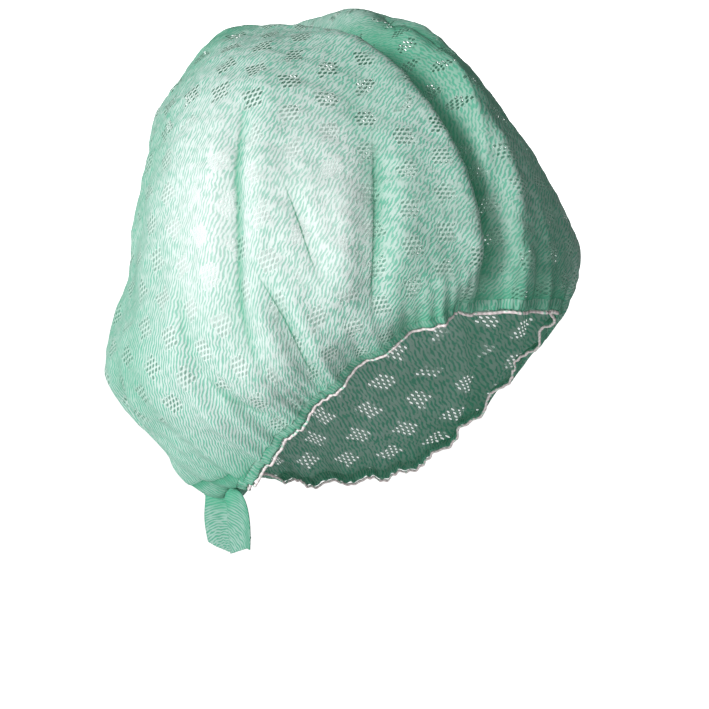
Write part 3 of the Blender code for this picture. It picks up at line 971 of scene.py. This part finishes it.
def elastic_material():
    """White covered elastic, faintly pink, with the yarn that winds round it, and patches of
    greenish painted shadow from the hem's ruffles.
    """
    g = Graph(bpy.data.materials.new("covered_elastic"))
    weave = g.node("UVMap", uv_map="weave")
    parts = g.node("SeparateXYZ", {0: weave})
    around = g.times(parts.outputs[1], 900.0)
    wound = g.scaled(parts.outputs[0], TURN / 0.0024, around)
    turns = g.scaled(g.math("SINE", wound), 0.5, 0.5)
    patches = g.noise(weave, 210.0, 2.0)
    # Greenish painted shadow of the hem's ruffles, in patches
    ruffle_shadows = g.times(g.step(patches, 0.52, 0.6), g.step(turns, 0.35, 0.7), 0.75)
    colour = g.mix(turns, rgb(228, 216, 216), rgb(202, 190, 190))
    colour = g.mix(ruffle_shadows, colour, rgb(120, 196, 168))
    bump = g.node("Bump", {"Height": turns, "Strength": 0.6, "Distance": 0.0002})
    g.node("OutputMaterial", {"Surface": g.face(colour, 0.75, 0.3, Normal=bump)})
    return g.owner


def floor_material():
    g = Graph(bpy.data.materials.new("studio_floor"))
    glow = {"Emission Color": WHITE, "Emission Strength": 0.62}
    face = g.face((0.93, 0.93, 0.93, 1.0), 0.9, 0.1, **glow)
    g.node("OutputMaterial", {"Surface": face})
    return g.owner


def crown_weave(crown, azimuths):
    """Stores the pattern's coordinates, which each lobe has its own of."""
    front = int(np.argmin(np.abs(azimuths - math.radians(FRONT_MEET % 360.0))))
    back = int(np.argmin(np.abs(azimuths - math.radians(BACK_MEET))))
    near = lobe_weave(back, front, False)
    far = lobe_weave(front, back + COLUMNS, True)
    # Coordinates at both ends of each span between two columns, by the lobe that it lies on
    left = np.zeros((ROWS, COLUMNS, 2))
    right = np.zeros((ROWS, COLUMNS, 2))
    for first, field in ((back, near), (front, far)):
        columns = (first + np.arange(field.shape[1] - 1)) % COLUMNS
        left[:, columns] = field[:, :-1]
        right[:, columns] = field[:, 1:]
    right += 10.0 * DIAMOND_ACROSS
    left += 10.0 * DIAMOND_ACROSS
    quads = np.stack((left[:-1], right[:-1], right[1:], left[1:]), axis=2).reshape(-1, 2)
    peak = (left[-1] + right[-1]) / 2.0
    fan = np.stack((left[-1], right[-1], peak), axis=1).reshape(-1, 2)
    set_weave(crown, np.vstack((quads, fan)))


def faded(row, degrees, ups):
    """The amount of a row of DEEPER_AND_SHADED at each place."""
    amount, side, other_side, edge = row
    for limits, place in ((side, degrees), (other_side, degrees), (edge, ups)):
        if limits:
            amount = amount * fade(*limits, place)
    return amount


def bunching_and_shade_at(points, azimuths, ups):
    """How deep in colour the cloth is: gathered by the hem, painted shade in the valley, the folds
    and broad parts, and deeper near the top.
    """
    degrees = np.degrees(wrapped(azimuths))
    height = ups * CROWN_HEIGHT
    bunching_and_shade = 0.6 * np.exp(-height / 0.004) + 0.28 * np.exp(-height / 0.02)
    # Painted shade in the folds
    bunching_and_shade += 90.0 * np.maximum(fold_depths(points), 0.0)
    # Painted shade in the valley, and deeper near the top
    sunk = size(smooth_crown(azimuths, ups) - folded_crown(azimuths, ups))
    bunching_and_shade += 0.6 * fade(0.004, 0.016, sunk) + 0.34 * fade(0.13, 0.172, points[..., 2])
    return bunching_and_shade + sum(faded(row, degrees, ups) for row in DEEPER_AND_SHADED)


def stretch_and_highlight(degrees, ups, in_band):
    """How much paler the cloth is over the side of the head: pulled thin, with a painted highlight
    there.
    """
    stretched_and_highlight = 0.0 * ups
    for middle, level, wide, tall, amount in STRETCHED_AND_HIGHLIT:
        away = ((degrees - middle) / wide) ** 2 + ((ups - level) / tall) ** 2
        stretched_and_highlight = np.maximum(stretched_and_highlight, amount * np.exp(-away))
    stretched_and_highlight = stretched_and_highlight * (1.0 - 0.85 * fade(-52.0, -46.0, degrees))
    return stretched_and_highlight * (1.0 - 0.8 * fade(0.0, 0.6, in_band))


def build_crown(finish):
    points, azimuths, ups = cloth_points()
    top = folded_crown(np.zeros(1), np.ones(1))[0]
    crown = grid_object("crown_cloth", points, True, top)
    crown_weave(crown, azimuths[0])
    degrees = np.degrees(wrapped(azimuths))
    offsets, lines, bands = crease_marks(folded_crown(azimuths, ups))
    for name, values, at_top in (
        ("bunching_and_shade", bunching_and_shade_at(points, azimuths, ups), 0.2),
        ("crease_offset", offsets, 2.0 * CREASE_FELT),
        ("crease_line", lines, 0.0),
        ("crease_band", bands, 0.0),
        ("steady", faded(STEADY, degrees, ups), 0.0),
        ("plain", faded(PLAIN, degrees, ups), 0.0),
        ("stretched_and_highlight", stretch_and_highlight(degrees, ups, bands * (offsets > 0.0)), 0.0),
    ):
        set_values(crown, name, np.append(values.ravel(), at_top))
    crown.data.materials.append(finish)
    return crown


def rim_lines(points):
    """At each column: a point of the crown's lower edge, the way down off it and the way out."""
    edge = points[0]
    down = unit(edge - points[3])
    for _ in range(RIM_SMOOTHING):
        down = unit(down + np.roll(down, 1, axis=0) + np.roll(down, -1, axis=0))
    forward = unit(np.roll(edge, -RIM_SPAN, axis=0) - np.roll(edge, RIM_SPAN, axis=0))
    out = unit(np.cross(down, forward))
    down = unit(np.cross(forward, out))
    return edge, down, out


def ring_object(name, sections):
    """A closed band through sections that go round and meet again, with its pattern coordinates."""
    count, sides = sections.shape[:2]
    index = np.arange(count * sides).reshape(count, sides)
    after = np.roll(index, -1, axis=0)
    beside = np.roll(index, -1, axis=1)
    both = np.roll(after, -1, axis=1)
    faces = np.stack((index, after, both, beside), axis=-1).reshape(-1, 4).tolist()
    thing = mesh_object(name, sections.reshape(-1, 3).tolist(), faces)
    middle = sections.mean(axis=1)
    stride = size(np.roll(middle, -1, axis=0) - middle)
    start = np.concatenate(([0.0], np.cumsum(stride)[:-1]))
    girth = size(np.roll(sections, -1, axis=1) - sections).mean(axis=0)
    round_start = np.concatenate(([0.0], np.cumsum(girth)[:-1]))
    s0 = np.broadcast_to(start[:, None], (count, sides))
    s1 = s0 + stride[:, None]
    t0 = np.broadcast_to(round_start[None, :], (count, sides))
    t1 = t0 + girth[None, :]
    set_weave(thing, np.stack((s0, t0, s1, t0, s1, t1, s0, t1), axis=-1).reshape(-1, 2))
    return thing


def round_steps(count):
    """Angles once round in even steps."""
    return np.arange(count) * TURN / count


def across_hem():
    """0 at the upper edge of the hem's section and 1 at its lower edge, once round it."""
    return 0.5 - 0.5 * np.cos(round_steps(HEM_SIDES))


def hem_sections(points):
    """The doubled edge: a flat loop of cloth that hangs on from the crown, finely ruffled."""
    edge, down, out = rim_lines(points)
    azimuth = round_steps(RING_COLUMNS)
    ruffle = ripples(azimuth, *FINE_RUFFLE) + ripples(azimuth, *BROAD_RUFFLE)
    scallop = ripples(azimuth, *SCALLOP)
    turns = round_steps(HEM_SIDES)
    tall = across_hem()
    wide = np.sign(np.sin(turns)) * np.abs(np.sin(turns)) ** 0.35
    half = HEM_THICKNESS / 2.0 * (0.55 + 0.45 * tall)
    middle = edge - out * (0.0001 + half[HEM_SIDES // 2])
    lower = tall[None, :] * (HEM_HEIGHT + HEM_TUCK + scallop[:, None]) - HEM_TUCK
    side = wide[None, :] * half[None, :] + ruffle[:, None] * (0.35 + 0.9 * tall[None, :])
    return middle[:, None] + down[:, None] * lower[..., None] + out[:, None] * side[..., None]


def elastic_sections(points):
    edge, down, out = rim_lines(points)
    azimuth = round_steps(RING_COLUMNS)
    turns = round_steps(ELASTIC_SIDES)
    swell = 1.0 + ripples(azimuth, *ELASTIC_SWELL)
    radius = ELASTIC_THICKNESS / 2.0 * np.clip(swell, 0.7, 1.15)
    middle = edge - out * (CLOTH / 2.0) + down * (GAP + HEM_HEIGHT + GAP + ELASTIC_THICKNESS / 2.0)
    middle = middle + out * ripples(azimuth, *ELASTIC_RUFFLE)[:, None]
    tall = np.cos(turns)[None, :] * radius[:, None]
    wide = np.sin(turns)[None, :] * radius[:, None]
    return middle[:, None] + down[:, None] * tall[..., None] + out[:, None] * wide[..., None]


def ring_points():
    """The crown's lowest rows at the density of the hem and elastic."""
    azimuths, ups = np.meshgrid(round_steps(RING_COLUMNS), np.arange(4) / ROWS)
    points, press = creased(azimuths, ups)
    return points - outward(azimuths, ups) * press[..., None]


def beside_view(points):
    """Places beside and towards the view that the tail's foot is cut for."""
    turn = math.radians(TAIL_FACES)
    beside = points[..., 0] * math.cos(turn) + points[..., 1] * math.sin(turn)
    toward = points[..., 0] * math.sin(turn) - points[..., 1] * math.cos(turn)
    return beside, toward


def tail_points():
    """The pleated tail: rows going up from its foot to its seat under the crown."""
    azimuth = math.pi + NAPE_TURN
    out = np.array([math.sin(azimuth), -math.cos(azimuth), 0.0])
    side = np.array([math.cos(azimuth), math.sin(azimuth), 0.0])
    across = np.linspace(-0.5, 0.5, TAIL_COLUMNS)
    half = 2.0 * across
    near = fade(0.0, 1.0, half)
    pleat = np.sin(TURN * TAIL_PLEATS * across)
    fine = 0.5 * np.sin(11.0 * TURN * across + 1.0) + 0.35 * np.sin(19.0 * TURN * across)
    place = (TAIL_PLACE + TAIL_PLEAT_DEPTH * pleat / 2.0) * (1.0 - 0.9 * near)
    place = place / CROWN_HEIGHT
    turn = across * TAIL_TOP_WIDTH / OPENING_BACK * (1.0 + TAIL_NEAR_WIDER * near)
    azimuths = azimuth + turn
    press = fold_depths(folded_crown(azimuths, place)) + gather_depths(azimuths, place)
    face = outward(azimuths, place)
    seat = folded_crown(azimuths, place) - face * press[:, None] + face * (TAIL_GAP + CLOTH / 2.0)
    curl = np.where(half > 0.0, TAIL_NEAR_CURL, 0.0) * half**2 + TAIL_TUCK
    rows = []
    for share in np.linspace(1.0, 0.0, TAIL_ROWS):
        spread = (TAIL_FOOT_WIDTH - TAIL_TOP_WIDTH) * share**TAIL_FREEDOM * across
        base = seat + np.outer(spread, side) - np.outer(curl * share**TAIL_CURL_FREEDOM, out)
        ways = np.gradient(base, axis=0)
        relief = unit(np.stack((ways[:, 1], -ways[:, 0], 0.0 * half), axis=-1))
        relief = relief * np.sign(dot(relief, out).mean())
        phase = TURN * TAIL_PLEATS * across * (1.0 + 0.15 * share)
        height = TAIL_RELIEF * np.sin(phase + 0.6) * share**0.8
        height = height + 0.0005 * fine * (0.4 + 0.6 * share)
        height = height + TAIL_BELLY * math.sin(math.pi * share) * (1.0 - half**2)
        row = base + relief * height[:, None]
        if not rows:
            beside, toward = beside_view(row)
            foot = np.interp(beside, *TAIL_FOOT)
            foot = foot + TAIL_FOOT_SLANT * np.maximum(toward, TAIL_FOOT_BACK)
        row[:, 2] = seat[:, 2] * (1.0 - share) + foot * share
        rows.append(row)
    return np.array(rows)


def build_tail(finish):
    points = tail_points()
    tail = grid_object("tail_cloth", points, False)
    place, toward = beside_view(points)
    beside = TAIL_FINER * (place - TAIL_ARC_PLACE + 0.35 * (toward - toward.mean()))
    above = TAIL_FINER * (points[..., 2] - TAIL_ARC_HEIGHT)
    round_arc = 0.015 * np.arctan2(beside, above)
    field = np.stack((np.hypot(0.9 * beside, above), round_arc), axis=-1) + 0.2
    quads = np.stack((field[:-1, :-1], field[:-1, 1:], field[1:, 1:], field[1:, :-1]), axis=2)
    set_weave(tail, quads.reshape(-1, 2))
    share = np.linspace(1.0, 0.0, TAIL_ROWS)[:, None]
    edge = np.abs(place - TAIL_MIDDLE)
    # Deeper at the tail's top, painted shade under the crown, and towards its sides
    bunching_and_shade = 0.35 + 0.75 * fade(0.35, 0.0, share) + 0.45 * fade(0.0085, 0.0125, edge)
    set_values(tail, "bunching_and_shade", bunching_and_shade.ravel())
    set_values(tail, "steady", np.full(TAIL_ROWS * TAIL_COLUMNS, 0.6))
    tail.data.materials.append(finish)
    wall = tail.modifiers.new("wall", "SOLIDIFY")
    wall.thickness = CLOTH / 2.0
    wall.offset = 0.0
    return tail


def add_camera():
    """The photograph's view. Returns the ways towards the camera and to its right."""
    azimuth = math.radians(CAMERA_AZIMUTH)
    elevation = math.radians(CAMERA_ELEVATION)
    ahead = math.cos(elevation)
    sine, cosine = math.sin(azimuth), math.cos(azimuth)
    toward = Vector((sine * ahead, -cosine * ahead, math.sin(elevation)))
    right = Vector((cosine, sine, 0.0))
    up = toward.cross(right)
    target = Vector((0.0, 0.0, CAMERA_AIM_HEIGHT))
    target = target - right * CAMERA_AIM_LEFT - up * CAMERA_AIM_DOWN
    data = bpy.data.cameras.new("camera")
    data.lens = CAMERA_LENS
    data.clip_start = 0.05
    data.clip_end = 60.0
    camera = bpy.data.objects.new("camera", data)
    axes = Matrix((right, up, toward)).transposed().to_4x4()
    camera.matrix_world = Matrix.Translation(target + toward * CAMERA_DISTANCE) @ axes
    bpy.context.scene.collection.objects.link(camera)
    bpy.context.scene.camera = camera
    return toward, right


def add_light(toward, right):
    """A broad soft key light from the picture's left, and a room that is darker on the right."""
    up = Vector((0.0, 0.0, 1.0))
    way, low = (
        (toward * ahead + right * aside + up * rise).normalized()
        for ahead, aside, rise in (KEY_WAY, LOW_WAY)
    )
    data = bpy.data.lights.new("key", "SUN")
    data.energy = KEY_STRENGTH
    data.angle = math.radians(KEY_ANGLE)
    key = bpy.data.objects.new("key", data)
    key.rotation_euler = way.to_track_quat("Z", "Y").to_euler()
    bpy.context.scene.collection.objects.link(key)
    g = Graph(bpy.data.worlds.new("studio"))
    view = g.node("TexCoord").outputs["Generated"]
    strength = g.scaled(g.step(g.dot(view, tuple(way)), -0.6, 1.0), ROOM_BY_KEY, ROOM)
    strength = g.scaled(g.step(g.dot(view, tuple(low)), -0.2, 1.0), ROOM_BY_LOW, strength)
    room = g.node("Background", {"Color": WHITE, "Strength": strength})
    g.node("OutputWorld", {"Surface": room})
    bpy.context.scene.world = g.owner


def add_floor(finish):
    """A pale floor that rises in a smooth curve all round, so that no edge shows behind the cap."""
    profile = [(2.5, 0.0), (4.0, 0.0)]
    for step in range(1, 13):
        turn = math.radians(7.5 * step)
        rise = FLOOR_CURVE - FLOOR_CURVE * math.cos(turn)
        profile.append((FLOOR_REACH + FLOOR_CURVE * math.sin(turn), rise))
    profile.append((FLOOR_REACH + FLOOR_CURVE, 1.0))
    turns = round_steps(96)
    rows = []
    for reach, rise in profile:
        level = 0.0 * turns + FLOOR_LEVEL + rise
        rows.append(np.stack((reach * np.cos(turns), reach * np.sin(turns), level), axis=-1))
    floor = grid_object("floor", np.array(rows), True)
    inner = rows[0] * (0.5, 0.5, 1.0)
    middle = grid_object("floor_middle", np.array([rows[0], inner]), True, (0.0, 0.0, FLOOR_LEVEL))
    for piece in (floor, middle):
        piece.data.materials.append(finish)
        piece.visible_diffuse = False
        piece.visible_glossy = False
        piece.visible_transmission = False


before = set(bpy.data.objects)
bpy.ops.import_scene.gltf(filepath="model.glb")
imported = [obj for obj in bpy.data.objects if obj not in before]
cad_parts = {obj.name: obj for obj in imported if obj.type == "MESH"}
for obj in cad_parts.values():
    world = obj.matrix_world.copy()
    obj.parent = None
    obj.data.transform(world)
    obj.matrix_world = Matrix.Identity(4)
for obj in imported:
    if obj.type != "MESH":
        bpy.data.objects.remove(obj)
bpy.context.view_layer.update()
bpy.context.scene.view_settings.view_transform = "Standard"
view = add_camera()
add_light(*view)
add_floor(floor_material())

# Deep green for gathered cloth and for painted shade
deep = rgb(64, 164, 128)
cloth = cloth_material("crown_fabric", rgb(202, 220, 214), rgb(118, 188, 166), deep, 1.0, 0.2)
# The hem's cloth is deeper green than the crown's: doubled cloth, and painted shade under the rim
edge_cloth = cloth_material("edge_fabric", rgb(168, 204, 190), rgb(88, 174, 144), deep, 0.0, 0.2)
# The tail's cloth is a darker copy of the crown's: painted shade of the nape under the crown
tail_cloth = cloth_material("shaded_tail_fabric", rgb(156, 184, 175), rgb(86, 154, 131), deep, 0.0, 0.18)

crown = build_crown(cloth)
rim_grid = ring_points()
hem = ring_object("hem_cloth", hem_sections(rim_grid))
# Deeper in colour, most towards the hem's lower fold
set_values(hem, "bunching_and_shade", np.tile(0.35 + 0.55 * across_hem(), RING_COLUMNS))
hem.data.materials.append(edge_cloth)
elastic = ring_object("elastic_cord", elastic_sections(rim_grid))
elastic.data.materials.append(elastic_material())
tail = build_tail(tail_cloth)

for piece, node, slot in (
    (crown, "crown", "cloth"),
    (hem, "hem", "cloth"),
    (elastic, "elastic", "elastic"),
    (tail, "nape_tail", "cloth"),
):
    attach(piece, "root")
    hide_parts(node)
